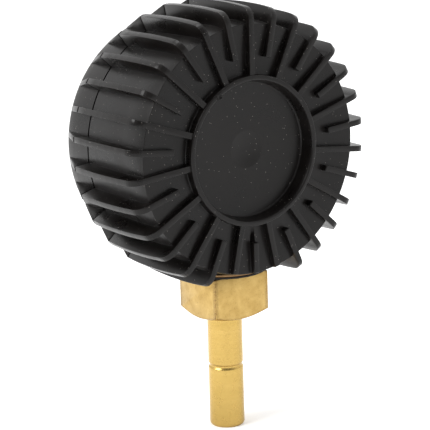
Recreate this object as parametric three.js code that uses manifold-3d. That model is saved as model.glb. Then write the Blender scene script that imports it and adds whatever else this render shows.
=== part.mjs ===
// Finned pressure-damping vessel: a black moulded drum in two halves, a rubber diaphragm between them,
// a square brass adaptor with a plain push-in spigot pointing down, and a gas charging valve at the back.
// Millimetres. +Z is up. The drum's axis runs along Y and its front faces -Y.
// The origin is the centre of the spigot's open end.
import * as THREE from "three";
import { mergeVertices } from "three/addons/utils/BufferGeometryUtils.js";
import Module from "manifold-3d";

const wasm = await Module();
wasm.setup();

// ---- driving dimensions ----
const GAP = 0.3; // left between pieces that touch
const FINE = 24; // segments round a small turned piece
const COARSE = 60; // segments round the drum

// Drum. Radii are from the drum's axis, and Y values are along it.
const AXIS_Z = 123; // height of the drum's axis above the spigot's end
const FRONT_Y = -26; // top plane of the front ring
const SEAM_Y = 19; // joint between the two halves
const REAR_Y = 42; // back face
const RING_R = 31; // outside of the front ring
const RECESS_R = 28.4;
const RECESS_DEPTH = 6.6;
const FACE_INNER_Y = FRONT_Y + 4.1; // front face where it meets the ring
const FACE_OUTER_Y = FRONT_Y + 3.1; // front face at its outer edge
const EDGE_R = 51.4; // crisp front edge of the side wall
const WALL_R = 52.4; // widest part of the side wall
const SEAM_WALL_R = 52.3;
const CAVITY_R = 48;
const SHELL_WALL = 3.6; // thickness of the front face and of the recess floor
const SEAM_GROOVE = 0.4; // half width of the groove that marks the seam
const BEAD_R = 50; // pocket for the diaphragm's bead

// Fins.
const FIN_COUNT = 30;
const FIN_PITCH = 360 / FIN_COUNT;
const FIN_THICKNESS = 2.4;
const FIN_TOP_Y = FRONT_Y + 0.9;
const FIN_TIP_R = 57.2; // fin edge just behind its front corner
const FIN_SEAM_R = 59; // fin edge at the seam
const FIN_CORNER = 5; // radius of the front corner
const SHORT_FIN_R = 38.2; // where a short fin starts on the front face
const REAR_FIN_END_Y = 35; // where a fin has tapered into the back half's wall
const FIN_ROOT_R = 50; // buried inside the wall

// Port and brass adaptor. Z values are above the spigot's end.
const BOSS_R = 18.1; // outside the wall, where the flange seats
const BOSS_INNER_R = 15; // inside the wall, clear of the diaphragm's bead
const BOSS_Z = 71.3; // flat land under the boss
const PORT_R = 13.5;
const INSERT_BORE_R = 6.5;
const INSERT_FLANGE_R = 18.2;
const INSERT_FLANGE_Z = 69.8;
const THREAD_R = 10.4;
const THREAD_END_Z = 56.9;
const BLOCK_SIDE = 27;
const BLOCK_BOTTOM_Z = 49.5;
const BLOCK_TOP_Z = 68.6;
const BLOCK_CORNER = 0.9; // flat broken on each upright corner
const SPIGOT_R = 7.5;
const SPIGOT_BORE_R = 6;
const GROOVE_Z = 27;
const SOCKET_FLOOR_Z = 54.8;

// Charging valve, along the drum's axis.
const WELL_R = 16;
const WELL_FLOOR_R = 14.5;
const WELL_FLOOR_Y = 26.5;
const WELL_INNER_Y = 23;
const VALVE_HOLE_R = 4.3;
const STEM_R = 3.85;
const STEM_TOP_Y = 38.5;

// ---- finishes ----
function finish(color, roughness, metalness) {
  return new THREE.MeshStandardMaterial({ color, roughness, metalness });
}

const blackNylon = () => finish(0x1b1b1c, 0.5, 0);
const brass = () => finish(0xd9b46a, 0.35, 1);
const blackRubber = () => finish(0x161616, 0.8, 0);
const nickel = () => finish(0xb9b6ae, 0.3, 1);
const steel = () => finish(0xa8aaad, 0.3, 1);
const whitePlastic = () => finish(0xe6e4dc, 0.5, 0);
const capPlastic = () => finish(0x202022, 0.55, 0);

// ---- solids ----
// A closed geometry as a solid that can be joined and cut.
function solid(geometry) {
  const bare = geometry.clone();
  bare.deleteAttribute("normal");
  bare.deleteAttribute("uv");
  const merged = mergeVertices(bare, 1e-4);
  const index = merged.index.array;
  const triangles = [];
  for (let i = 0; i < index.length; i += 3) {
    const [a, b, c] = [index[i], index[i + 1], index[i + 2]];
    if (a !== b && b !== c && c !== a) triangles.push(a, b, c);
  }
  const build = (triVerts) =>
    new wasm.Manifold(
      new wasm.Mesh({
        numProp: 3,
        vertProperties: merged.attributes.position.array,
        triVerts: new Uint32Array(triVerts),
      }),
    );
  const made = build(triangles);
  return made.volume() < 0 ? build(triangles.reverse()) : made;
}

function geometryOf(body) {
  const mesh = body.getMesh();
  const geometry = new THREE.BufferGeometry();
  geometry.setAttribute(
    "position",
    new THREE.BufferAttribute(new Float32Array(mesh.vertProperties), 3),
  );
  geometry.setIndex(new THREE.BufferAttribute(new Uint32Array(mesh.triVerts), 1));
  geometry.computeVertexNormals();
  return geometry;
}

function part(name, body, material) {
  const mesh = new THREE.Mesh(geometryOf(body), material);
  mesh.name = name;
  return mesh;
}

// A turned solid on the Y axis from a profile of [radius, y] points.
function turned(points, segments = FINE) {
  const profile = points.map(([r, y]) => new THREE.Vector2(r, y));
  return solid(new THREE.LatheGeometry(profile, segments));
}

// A hollow or full turned solid: the profile returns to its first point.
function turnedRing(points, segments = FINE) {
  return turned([...points, points[0]], segments);
}

// Quarter-round points from angle a to angle b, in degrees, about [r, y].
function arc(r, y, radius, a, b, steps) {
  const points = [];
  for (let i = 0; i <= steps; i++) {
    const t = THREE.MathUtils.degToRad(a + ((b - a) * i) / steps);
    points.push([r + radius * Math.cos(t), y + radius * Math.sin(t)]);
  }
  return points;
}

// A plain upright cylinder about the Z axis.
function uprightCylinder(radius, low, high, segments = FINE) {
  const geometry = new THREE.CylinderGeometry(radius, radius, high - low, segments);
  geometry.rotateX(Math.PI / 2);
  geometry.translate(0, 0, (low + high) / 2);
  return solid(geometry);
}

// A turned solid stood upright, from a profile of [radius, z] points.
function turnedUpright(points, segments = FINE) {
  const profile = [...points, points[0]].map(([r, z]) => new THREE.Vector2(r, z));
  const geometry = new THREE.LatheGeometry(profile, segments);
  geometry.rotateX(Math.PI / 2);
  return solid(geometry);
}

// ---- drum ----
// One radial fin from its outline of [radius, y] points. Angle 0 is straight down.
function fin(outline, degrees) {
  const shape = new THREE.Shape(outline.map(([r, y]) => new THREE.Vector2(r, y)));
  const geometry = new THREE.ExtrudeGeometry(shape, {
    depth: FIN_THICKNESS,
    bevelEnabled: false,
  });
  geometry.translate(0, 0, -FIN_THICKNESS / 2);
  geometry.rotateY(THREE.MathUtils.degToRad(90 - degrees));
  return solid(geometry);
}

// The outline of a fin of the front half. It bows out a little between its corner and the seam.
function frontFinOutline(startR, reachesSeam) {
  const rootY = FACE_OUTER_Y + 2.2;
  const start = [
    [startR, rootY],
    [startR, FIN_TOP_Y],
  ];
  if (!reachesSeam) {
    return [...start, [EDGE_R - 0.4, FIN_TOP_Y], [EDGE_R, FIN_TOP_Y + 0.6], [EDGE_R - 0.1, rootY]];
  }
  const cornerR = FIN_TIP_R - FIN_CORNER;
  const corner = arc(cornerR, FIN_TOP_Y + FIN_CORNER, FIN_CORNER, -90, 0, 3);
  const edge = new THREE.QuadraticBezierCurve(
    new THREE.Vector2(FIN_TIP_R, FIN_TOP_Y + FIN_CORNER),
    new THREE.Vector2(FIN_SEAM_R + 0.5, (FIN_TOP_Y + SEAM_Y) / 2),
    new THREE.Vector2(FIN_SEAM_R, SEAM_Y - SEAM_GROOVE),
  );
  const bow = edge.getPoints(3).slice(1).map((p) => [p.x, p.y]);
  return [...start, ...corner, ...bow, [FIN_ROOT_R, SEAM_Y - SEAM_GROOVE], [FIN_ROOT_R, rootY]];
}

function frontShell() {
  const floorY = FRONT_Y + RECESS_DEPTH;
  const backOfFloor = floorY + SHELL_WALL;
  const backOfFace = FACE_OUTER_Y + SHELL_WALL;
  const ringWallR = RING_R + 0.8;
  let body = turned(
    [
      [0, floorY + 0.7],
      [7.8, floorY],
      [RECESS_R - 1.1, floorY],
      [RECESS_R - 0.5, floorY - 0.5],
      [RECESS_R, FRONT_Y + 1.3],
      [RECESS_R + 0.35, FRONT_Y + 0.35],
      [RECESS_R + 0.9, FRONT_Y],
      [RING_R - 0.4, FRONT_Y],
      [RING_R, FRONT_Y + 0.4],
      [RING_R, FACE_INNER_Y],
      [EDGE_R, FACE_OUTER_Y],
      [WALL_R - 0.5, FACE_OUTER_Y + 4],
      [WALL_R, FACE_OUTER_Y + 10],
      [SEAM_WALL_R, SEAM_Y - SEAM_GROOVE],
      [SEAM_WALL_R - 1.2, SEAM_Y - SEAM_GROOVE],
      [SEAM_WALL_R - 1.2, SEAM_Y - GAP / 2],
      [BEAD_R, SEAM_Y - GAP / 2],
      [BEAD_R, SEAM_Y - SHELL_WALL],
      [CAVITY_R, SEAM_Y - SHELL_WALL],
      [CAVITY_R, backOfFace + 2],
      [CAVITY_R - 2, backOfFace],
      [ringWallR + 1.5, backOfFace + 0.6],
      [ringWallR, backOfFloor - 1.5],
      [ringWallR - 1.5, backOfFloor],
      [0, backOfFloor],
    ],
    COARSE,
  );
  for (let k = 0; k < FIN_COUNT; k++) {
    const turn = Math.min(k, FIN_COUNT - k); // steps away from straight down
    const startR = k % 2 === 0 ? SHORT_FIN_R : RING_R - 0.9;
    body = body.add(fin(frontFinOutline(startR, turn > 1), k * FIN_PITCH));
  }
  const landZ = BOSS_Z - AXIS_Z;
  const inside = turned(
    [
      [0, FRONT_Y],
      [BEAD_R + 0.2, FRONT_Y],
      [BEAD_R + 0.2, SEAM_Y],
      [0, SEAM_Y],
    ],
    COARSE,
  );
  const outerBoss = uprightCylinder(BOSS_R, landZ, landZ + 4.7, 48).subtract(inside);
  const innerBoss = uprightCylinder(BOSS_INNER_R, landZ, landZ + 4.7, 48);
  const underBoss = uprightCylinder(BOSS_R + 0.4, landZ - 12, landZ, 48);
  const port = uprightCylinder(PORT_R, landZ - 12, landZ + 12, 48);
  return body.add(outerBoss).add(innerBoss).subtract(underBoss).subtract(port);
}

function rearShell() {
  const backWall = REAR_Y - SHELL_WALL;
  const wellWallR = WELL_R + SHELL_WALL;
  let body = turnedRing(
    [
      [SEAM_WALL_R, SEAM_Y + SEAM_GROOVE],
      [WALL_R, REAR_FIN_END_Y - 4],
      [WALL_R - 0.2, REAR_FIN_END_Y],
      [WALL_R - 2, REAR_FIN_END_Y + 3.2],
      [WALL_R - 5, REAR_FIN_END_Y + 5.6],
      [WALL_R - 9, REAR_Y],
      [WELL_R + 0.8, REAR_Y],
      [WELL_R, REAR_Y - 0.8],
      [WELL_FLOOR_R, WELL_FLOOR_Y],
      [VALVE_HOLE_R, WELL_FLOOR_Y],
      [VALVE_HOLE_R, WELL_INNER_Y],
      [wellWallR - 2, WELL_INNER_Y],
      [wellWallR, WELL_INNER_Y + 2],
      [wellWallR + 0.5, backWall - 1.5],
      [wellWallR + 2, backWall],
      [WALL_R - 11, backWall],
      [CAVITY_R - 1.5, REAR_FIN_END_Y - 1],
      [CAVITY_R, REAR_FIN_END_Y - 5],
      [CAVITY_R, SEAM_Y + GAP / 2],
      [CAVITY_R - 0.8, SEAM_Y - 0.4],
      [BEAD_R - GAP, SEAM_Y - 0.4],
      [BEAD_R - GAP, SEAM_Y + GAP / 2],
      [SEAM_WALL_R - 1.2, SEAM_Y + GAP / 2],
      [SEAM_WALL_R - 1.2, SEAM_Y + SEAM_GROOVE],
    ],
    COARSE,
  );
  const outline = [
    [FIN_ROOT_R, SEAM_Y + SEAM_GROOVE],
    [FIN_SEAM_R, SEAM_Y + SEAM_GROOVE],
    [WALL_R + 0.1, REAR_FIN_END_Y],
    [FIN_ROOT_R, REAR_FIN_END_Y],
  ];
  for (let k = 0; k < FIN_COUNT; k++) {
    body = body.add(fin(outline, k * FIN_PITCH));
  }
  return body;
}

// ---- diaphragm ----
const DIAPHRAGM_FRONT_Y = -6;
const DIAPHRAGM_SKIN = 1.6;
const DIAPHRAGM_R = 44.6;
const PLATE_R = 33;

function diaphragm() {
  const corner = 8;
  const backY = DIAPHRAGM_FRONT_Y + DIAPHRAGM_SKIN;
  const beadFrontY = SEAM_Y - SHELL_WALL + GAP;
  const beadBackY = SEAM_Y - 0.4 - GAP;
  const centreR = DIAPHRAGM_R - corner;
  const centreY = DIAPHRAGM_FRONT_Y + corner;
  return turned(
    [
      [0, DIAPHRAGM_FRONT_Y],
      ...arc(centreR, centreY, corner, -90, 0, 3),
      [DIAPHRAGM_R, beadFrontY - 1],
      [DIAPHRAGM_R + 1.4, beadFrontY],
      [BEAD_R - GAP, beadFrontY],
      [BEAD_R - GAP, beadBackY],
      [DIAPHRAGM_R, beadBackY],
      [DIAPHRAGM_R - DIAPHRAGM_SKIN, beadFrontY],
      ...arc(centreR, centreY, corner - DIAPHRAGM_SKIN, 0, -90, 3),
      [0, backY],
    ],
    COARSE,
  );
}

function diaphragmPlate() {
  const low = DIAPHRAGM_FRONT_Y + DIAPHRAGM_SKIN + GAP;
  return turned(
    [
      [0, low],
      [PLATE_R - 1, low],
      [PLATE_R, low + 1],
      [PLATE_R, low + 2.5],
      [PLATE_R - 2, low + 2.5],
      [PLATE_R - 3, low + 1.6],
      [0, low + 1.6],
    ],
    COARSE,
  );
}

// ---- brass port ----
function portInsert() {
  const bodyR = PORT_R - GAP;
  const grooveR = bodyR - 2;
  const grooveZ = BOSS_Z + 1.3;
  const topZ = BOSS_Z + 4.5;
  return turnedUpright([
    [INSERT_BORE_R, THREAD_END_Z],
    [THREAD_R - 0.8, THREAD_END_Z],
    [THREAD_R, THREAD_END_Z + 0.8],
    [THREAD_R, INSERT_FLANGE_Z],
    [INSERT_FLANGE_R, INSERT_FLANGE_Z],
    [INSERT_FLANGE_R, BOSS_Z - GAP],
    [bodyR, BOSS_Z - GAP],
    [bodyR, grooveZ],
    [grooveR, grooveZ],
    [grooveR, grooveZ + 2.2],
    [bodyR, grooveZ + 2.2],
    [bodyR, topZ],
    [INSERT_BORE_R, topZ],
  ]);
}

function portORing() {
  return turnedUpright(arc(PORT_R - 1.15, BOSS_Z + 2.4, 0.85, 0, 315, 7));
}

function spigotAdaptor() {
  const half = BLOCK_SIDE / 2;
  const cut = BLOCK_CORNER;
  const square = new THREE.Shape(
    [
      [half, half - cut],
      [half - cut, half],
      [cut - half, half],
      [-half, half - cut],
      [-half, cut - half],
      [cut - half, -half],
      [half - cut, -half],
      [half, cut - half],
    ].map(([x, y]) => new THREE.Vector2(x, y)),
  );
  const prism = new THREE.ExtrudeGeometry(square, {
    depth: BLOCK_TOP_Z - BLOCK_BOTTOM_Z,
    bevelEnabled: false,
  });
  prism.translate(0, 0, BLOCK_BOTTOM_Z);
  // The lathe's chamfer cuts the square's lower corners away.
  const chamferDrop = 0.42;
  const wideR = 20;
  const chamfer = turnedUpright(
    [
      [0, BLOCK_BOTTOM_Z],
      [half - 0.6, BLOCK_BOTTOM_Z],
      [wideR, BLOCK_BOTTOM_Z + (wideR - half + 0.6) * chamferDrop],
      [wideR, BLOCK_TOP_Z],
      [0, BLOCK_TOP_Z],
    ],
    COARSE,
  );
  const grooveHalf = 1.3;
  const spigot = turnedUpright([
    [0, 0],
    [SPIGOT_R - 0.5, 0],
    [SPIGOT_R, 1],
    [SPIGOT_R, GROOVE_Z - grooveHalf],
    [SPIGOT_R - 0.45, GROOVE_Z - 0.5],
    [SPIGOT_R - 0.45, GROOVE_Z + 0.5],
    [SPIGOT_R, GROOVE_Z + grooveHalf],
    [SPIGOT_R, BLOCK_BOTTOM_Z + 1],
    [0, BLOCK_BOTTOM_Z + 1],
  ]);
  const bore = uprightCylinder(SPIGOT_BORE_R, -1, BLOCK_TOP_Z);
  const socket = uprightCylinder(THREAD_R + GAP, SOCKET_FLOOR_Z, BLOCK_TOP_Z + 1);
  return solid(prism).intersect(chamfer).add(spigot).subtract(bore).subtract(socket);
}

function flangeGasket() {
  const low = BLOCK_TOP_Z + GAP;
  const high = INSERT_FLANGE_Z - GAP;
  return turnedUpright([
    [THREAD_R + 0.5, low],
    [INSERT_FLANGE_R, low],
    [INSERT_FLANGE_R, high],
    [THREAD_R + 0.5, high],
  ]);
}

function adaptorWasher() {
  const low = SOCKET_FLOOR_Z + GAP;
  const high = THREAD_END_Z - GAP;
  return turnedUpright([
    [INSERT_BORE_R + 0.5, low],
    [THREAD_R - 0.3, low],
    [THREAD_R - 0.3, high],
    [INSERT_BORE_R + 0.5, high],
  ]);
}

// ---- charging valve ----
const FLANGE_BACK_Y = 20.1; // face of the valve body's flange, inside the gas chamber
const FLANGE_FRONT_Y = FLANGE_BACK_Y - 2.5;
const CORE_SEAT_Y = 29; // step that the valve core seals on
const CORE_BORE_R = 2.65;
const POPPET_BORE_R = 2.2;
const BARREL_SHOULDER_Y = 30.6;
const BARREL_TOP_Y = 36.8;
const BARREL_END_Y = 27.2;
const SPRING_LOW_Y = 31.5;
const SPRING_HIGH_Y = 35.9;
const NUT_LOW_Y = 28.1;
const NUT_HIGH_Y = 31.6;
const CAP_OPEN_Y = 32.2;
const CAP_TOP_Y = 41.5;
const CAP_R = 5;

function valveBody() {
  return turnedRing([
    [POPPET_BORE_R, FLANGE_FRONT_Y],
    [6.4, FLANGE_FRONT_Y],
    [7, FLANGE_FRONT_Y + 0.6],
    [7, FLANGE_BACK_Y],
    [VALVE_HOLE_R - GAP, FLANGE_BACK_Y],
    [VALVE_HOLE_R - GAP, 27.5],
    [STEM_R, 27.8],
    [STEM_R, STEM_TOP_Y - 0.5],
    [STEM_R - 0.5, STEM_TOP_Y],
    [CORE_BORE_R, STEM_TOP_Y],
    [CORE_BORE_R, CORE_SEAT_Y],
    [POPPET_BORE_R, CORE_SEAT_Y],
  ]);
}

function valveORing() {
  const centreY = (FLANGE_BACK_Y + WELL_INNER_Y) / 2;
  return turnedRing(arc(5.6, centreY, 1.1, 0, 315, 7));
}

function valveWasher() {
  return turnedRing([
    [STEM_R + 0.35, WELL_FLOOR_Y + GAP],
    [7.6, WELL_FLOOR_Y + GAP],
    [7.6, NUT_LOW_Y - GAP],
    [STEM_R + 0.35, NUT_LOW_Y - GAP],
  ]);
}

function valveNut() {
  const acrossFlats = 12;
  const hexagon = new THREE.CylinderGeometry(
    acrossFlats / Math.sqrt(3),
    acrossFlats / Math.sqrt(3),
    NUT_HIGH_Y - NUT_LOW_Y,
    6,
  );
  hexagon.translate(0, (NUT_HIGH_Y + NUT_LOW_Y) / 2, 0);
  const hole = new THREE.CylinderGeometry(STEM_R + 0.35, STEM_R + 0.35, 10, FINE);
  hole.translate(0, NUT_LOW_Y, 0);
  return solid(hexagon).subtract(solid(hole));
}

function coreBarrel() {
  return turnedRing([
    [0.9, BARREL_END_Y],
    [1.5, BARREL_END_Y],
    [1.5, BARREL_SHOULDER_Y],
    [2.35, BARREL_SHOULDER_Y],
    [2.35, BARREL_TOP_Y],
    [1.9, BARREL_TOP_Y],
    [1.9, SPRING_LOW_Y - GAP],
    [0.9, SPRING_LOW_Y - GAP],
  ]);
}

function coreGasket() {
  return turnedRing([
    [1.8, CORE_SEAT_Y + GAP],
    [2.35, CORE_SEAT_Y + GAP],
    [2.35, BARREL_SHOULDER_Y - GAP],
    [1.8, BARREL_SHOULDER_Y - GAP],
  ]);
}

function corePin() {
  const pinR = 0.55;
  return turned([
    [0, 25],
    [1.6, 25],
    [1.6, 25.7],
    [pinR, 25.7],
    [pinR, SPRING_HIGH_Y + GAP],
    [1.6, SPRING_HIGH_Y + GAP],
    [1.6, SPRING_HIGH_Y + 0.8],
    [pinR, SPRING_HIGH_Y + 0.8],
    [pinR, 37.8],
    [pinR - 0.2, 38],
    [0, 38],
  ], 20);
}

function coreSeal() {
  return turnedRing([
    [0.85, 26],
    [1.6, 26],
    [1.6, BARREL_END_Y - GAP],
    [0.85, BARREL_END_Y - GAP],
  ], 20);
}

class Helix extends THREE.Curve {
  constructor(radius, low, high, turns) {
    super();
    Object.assign(this, { radius, low, high, turns });
  }
  getPoint(t, target = new THREE.Vector3()) {
    const angle = 2 * Math.PI * this.turns * t;
    const y = this.low + (this.high - this.low) * t;
    return target.set(this.radius * Math.cos(angle), y, this.radius * Math.sin(angle));
  }
}

function coreSpring() {
  const wireR = 0.15;
  const turns = 5;
  const wire = new THREE.Shape();
  wire.absarc(0, 0, wireR, 0, 2 * Math.PI);
  const path = new Helix(1.25, SPRING_LOW_Y + wireR, SPRING_HIGH_Y - wireR, turns);
  return solid(
    new THREE.ExtrudeGeometry(wire, {
      steps: 10 * turns,
      curveSegments: 5,
      bevelEnabled: false,
      extrudePath: path,
    }),
  );
}

function valveCap() {
  const boreR = STEM_R + 0.35;
  let cap = turnedRing([
    [boreR, CAP_OPEN_Y],
    [CAP_R, CAP_OPEN_Y],
    [CAP_R, CAP_TOP_Y - 0.8],
    [CAP_R - 0.8, CAP_TOP_Y],
    [0, CAP_TOP_Y],
    [0, STEM_TOP_Y + 1.6],
    [boreR, STEM_TOP_Y + 1.6],
  ]);
  // Grip flutes round the cap.
  const flutes = 10;
  for (let k = 0; k < flutes; k++) {
    const angle = (2 * Math.PI * k) / flutes;
    const flute = new THREE.CylinderGeometry(0.5, 0.5, 7, 8);
    flute.translate(
      (CAP_R + 0.25) * Math.cos(angle),
      CAP_OPEN_Y + 5.2,
      (CAP_R + 0.25) * Math.sin(angle),
    );
    cap = cap.subtract(solid(flute));
  }
  return cap;
}

function capSeal() {
  const low = STEM_TOP_Y + GAP;
  return turned([
    [0, low],
    [STEM_R - 0.1, low],
    [STEM_R - 0.1, low + 1],
    [0, low + 1],
  ]);
}

// ---- assembly ----
const vessel = new THREE.Group();

const drum = new THREE.Group();
drum.position.z = AXIS_Z;
drum.add(
  part("front_shell", frontShell(), blackNylon()),
  part("rear_shell", rearShell(), blackNylon()),
  part("diaphragm", diaphragm(), blackRubber()),
  part("diaphragm_plate", diaphragmPlate(), whitePlastic()),
  part("valve_body", valveBody(), nickel()),
  part("valve_oring", valveORing(), blackRubber()),
  part("valve_washer", valveWasher(), steel()),
  part("valve_nut", valveNut(), nickel()),
  part("core_barrel", coreBarrel(), brass()),
  part("core_gasket", coreGasket(), whitePlastic()),
  part("core_pin", corePin(), steel()),
  part("core_seal", coreSeal(), blackRubber()),
  part("core_spring", coreSpring(), steel()),
  part("valve_cap", valveCap(), capPlastic()),
  part("cap_seal", capSeal(), blackRubber()),
);

const stem = new THREE.Group();
stem.add(
  part("port_insert", portInsert(), brass()),
  part("port_oring", portORing(), blackRubber()),
  part("flange_gasket", flangeGasket(), blackRubber()),
  part("spigot_adaptor", spigotAdaptor(), brass()),
  part("adaptor_washer", adaptorWasher(), blackRubber()),
);

vessel.add(drum, stem);

export default vessel;
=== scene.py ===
import math
import bmesh
import bpy
from mathutils import Matrix, Vector


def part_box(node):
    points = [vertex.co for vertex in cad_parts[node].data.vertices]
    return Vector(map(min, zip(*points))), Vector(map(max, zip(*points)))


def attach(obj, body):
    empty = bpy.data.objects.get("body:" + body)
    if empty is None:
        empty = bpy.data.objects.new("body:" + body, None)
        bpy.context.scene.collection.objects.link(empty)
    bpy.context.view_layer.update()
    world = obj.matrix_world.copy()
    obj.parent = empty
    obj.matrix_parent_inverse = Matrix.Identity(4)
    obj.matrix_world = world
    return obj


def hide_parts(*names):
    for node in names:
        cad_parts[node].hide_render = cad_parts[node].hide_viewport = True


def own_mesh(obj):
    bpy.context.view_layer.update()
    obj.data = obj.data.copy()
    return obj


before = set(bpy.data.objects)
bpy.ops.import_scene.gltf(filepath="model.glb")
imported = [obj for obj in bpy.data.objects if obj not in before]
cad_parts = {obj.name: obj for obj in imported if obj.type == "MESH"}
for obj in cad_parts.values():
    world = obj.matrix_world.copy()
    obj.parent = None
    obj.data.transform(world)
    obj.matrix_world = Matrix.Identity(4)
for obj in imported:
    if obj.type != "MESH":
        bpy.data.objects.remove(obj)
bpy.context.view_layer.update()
mm = 0.001

# The drum's axis runs along Y at this height. The spigot hangs straight down under it.
axisHeight = (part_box("valve_body")[0].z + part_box("valve_body")[1].z) / 2
drumCentre = Vector((0, 0, axisHeight))
seamY = 19.0
mergeGap = 2e-6  # vertices closer than this become one, in metres
tinyEdge = 1e-6

# selecting and drawing


def clearSelection():
    if bpy.context.object and bpy.context.object.mode != "OBJECT":
        bpy.ops.object.mode_set(mode="OBJECT")
    bpy.ops.object.select_all(action="DESELECT")


def pickOnly(piece):
    clearSelection()
    piece.select_set(True)
    bpy.context.view_layer.objects.active = piece


def drumPoint(radius, y, side=0.0):
    # below the drum's axis, in metres
    return Vector((side * mm, y * mm, axisHeight - radius * mm))


def stemPoint(radius, z):
    return Vector((radius * mm, 0, z * mm))


def roundedCorners(corners, steps=3):
    # each corner is (across, along) or (across, along, rounding radius)
    result = []
    last = len(corners) - 1
    for i, corner in enumerate(corners):
        here = Vector(corner[:2])
        radius = corner[2] if len(corner) > 2 else 0
        if radius == 0 or i in (0, last):
            result.append(here)
            continue
        before = (Vector(corners[i - 1][:2]) - here).normalized()
        after = (Vector(corners[i + 1][:2]) - here).normalized()
        half = before.angle(after) / 2
        reach = radius / math.tan(half)
        middle = here + (before + after).normalized() * (radius / math.sin(half))
        start = here + before * reach - middle
        finish = here + after * reach - middle
        turn = start.angle_signed(finish)
        for k in range(steps + 1):
            spoke = start.copy()
            spoke.rotate(Matrix.Rotation(-turn * k / steps, 2))
            result.append(middle + spoke)
    return result


def bowed(start, control, end, steps=5):
    # points along a smooth bow, both ends included
    result = []
    for k in range(steps + 1):
        t = k / steps
        result.append(tuple(
            (1 - t) ** 2 * a + 2 * t * (1 - t) * c + t * t * b
            for a, c, b in zip(start, control, end)
        ))
    return result


def drawOutline(name, points):
    # one vertex, extruded from point to point
    clearSelection()
    bpy.ops.mesh.primitive_plane_add(size=mm)
    piece = bpy.context.object
    piece.name = name
    piece.data.name = name
    bpy.ops.object.mode_set(mode="EDIT")
    bpy.ops.mesh.select_all(action="SELECT")
    bpy.ops.mesh.merge(type="CENTER")
    bpy.ops.transform.translate(value=points[0])
    for before, after in zip(points, points[1:]):
        bpy.ops.mesh.extrude_vertices_move(TRANSFORM_OT_translate={"value": after - before})
    return piece


def closeSurface():
    bpy.ops.mesh.select_all(action="SELECT")
    bpy.ops.mesh.remove_doubles(threshold=mergeGap)
    bpy.ops.mesh.dissolve_degenerate(threshold=tinyEdge)
    bpy.ops.mesh.select_all(action="SELECT")
    bpy.ops.mesh.normals_make_consistent(inside=False)


def turnedPiece(name, points, axis, centre, steps):
    piece = drawOutline(name, points)
    bpy.ops.mesh.select_all(action="SELECT")
    bpy.ops.mesh.spin(steps=steps, angle=2 * math.pi, center=centre, axis=axis)
    closeSurface()
    bpy.ops.object.mode_set(mode="OBJECT")
    return piece


def turnedOnDrum(name, corners, steps=72, rounding=3):
    points = [drumPoint(*p) for p in roundedCorners(corners, rounding)]
    return turnedPiece(name, points, (0, 1, 0), drumCentre, steps)


def turnedOnStem(name, corners, steps=72, rounding=3):
    points = [stemPoint(*p) for p in roundedCorners(corners, rounding)]
    return turnedPiece(name, points, (0, 0, 1), (0, 0, 0), steps)


def slabFromOutline(name, points, thickness, edge):
    # a flat outline filled, extruded along X and bevelled all round
    piece = drawOutline(name, points)
    bpy.ops.mesh.select_all(action="SELECT")
    bpy.ops.mesh.remove_doubles(threshold=tinyEdge)
    bpy.ops.mesh.edge_face_add()
    bpy.ops.mesh.extrude_region_move(TRANSFORM_OT_translate={"value": (thickness * mm, 0, 0)})
    bpy.ops.mesh.select_all(action="SELECT")
    bpy.ops.mesh.normals_make_consistent(inside=False)
    bpy.ops.mesh.select_all(action="DESELECT")
    bpy.ops.mesh.edges_select_sharp(sharpness=math.radians(60))
    bpy.ops.mesh.bevel(offset=edge * mm, segments=2, affect="EDGES", clamp_overlap=True)
    bpy.ops.object.mode_set(mode="OBJECT")
    return piece


def cylinderPiece(name, radius, low, high, along, centre, sides=64):
    clearSelection()
    turn = (math.pi / 2, 0, 0) if along == "Y" else (0, 0, 0)
    middle = Vector(centre)
    middle["XYZ".index(along)] = (low + high) / 2 * mm
    bpy.ops.mesh.primitive_cylinder_add(
        vertices=sides,
        radius=radius * mm,
        depth=(high - low) * mm,
        location=middle,
        rotation=turn,
    )
    piece = bpy.context.object
    piece.name = name
    piece.data.name = name
    bpy.ops.object.transform_apply(location=True, rotation=True, scale=True)
    return piece


def combine(piece, other, operation):
    pickOnly(piece)
    cut = piece.modifiers.new("combine", "BOOLEAN")
    cut.operation = operation
    cut.solver = "EXACT"
    cut.object = other
    bpy.ops.object.modifier_apply(modifier=cut.name)
    mesh = other.data
    bpy.data.objects.remove(other)
    bpy.data.meshes.remove(mesh)


def joined(pieces):
    clearSelection()
    for piece in pieces:
        piece.select_set(True)
    bpy.context.view_layer.objects.active = pieces[0]
    bpy.ops.object.join()
    return pieces[0]


def smoothed(piece, degrees=35):
    pickOnly(piece)
    bpy.ops.object.shade_smooth_by_angle(angle=math.radians(degrees))
    return piece


# shader parts


def addNode(tree, kind, inputs=None, **settings):
    node = tree.nodes.new(kind)
    for name, value in settings.items():
        setattr(node, name, value)
    for name, value in (inputs or {}).items():
        socket = node.inputs[name]
        if isinstance(value, bpy.types.NodeSocket):
            tree.links.new(value, socket)
        else:
            socket.default_value = value
    return node


def ramp(tree, factor, stops):
    node = addNode(tree, "ShaderNodeValToRGB", {"Fac": factor})
    elements = node.color_ramp.elements
    while len(elements) < len(stops):
        elements.new(0.5)
    for element, (place, colour) in zip(elements, stops):
        element.position = place
        element.color = (*colour, 1)
    return node.outputs["Color"]


def grey(value):
    return (value, value, value)


def calc(tree, operation, first, second=0.0, clamp=False):
    inputs = {0: first, 1: second}
    node = addNode(tree, "ShaderNodeMath", inputs, operation=operation, use_clamp=clamp)
    return node.outputs["Value"]


def mixed(tree, factor, first, second):
    node = tree.nodes.new("ShaderNodeMix")
    node.data_type = "RGBA"
    values = {0: factor, 6: first, 7: second}  # the sockets of a colour mix
    for place, value in values.items():
        socket = node.inputs[place]
        if isinstance(value, bpy.types.NodeSocket):
            tree.links.new(value, socket)
        elif socket.type == "RGBA":
            socket.default_value = (*value, 1)
        else:
            socket.default_value = value
    return node.outputs[2]


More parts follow.
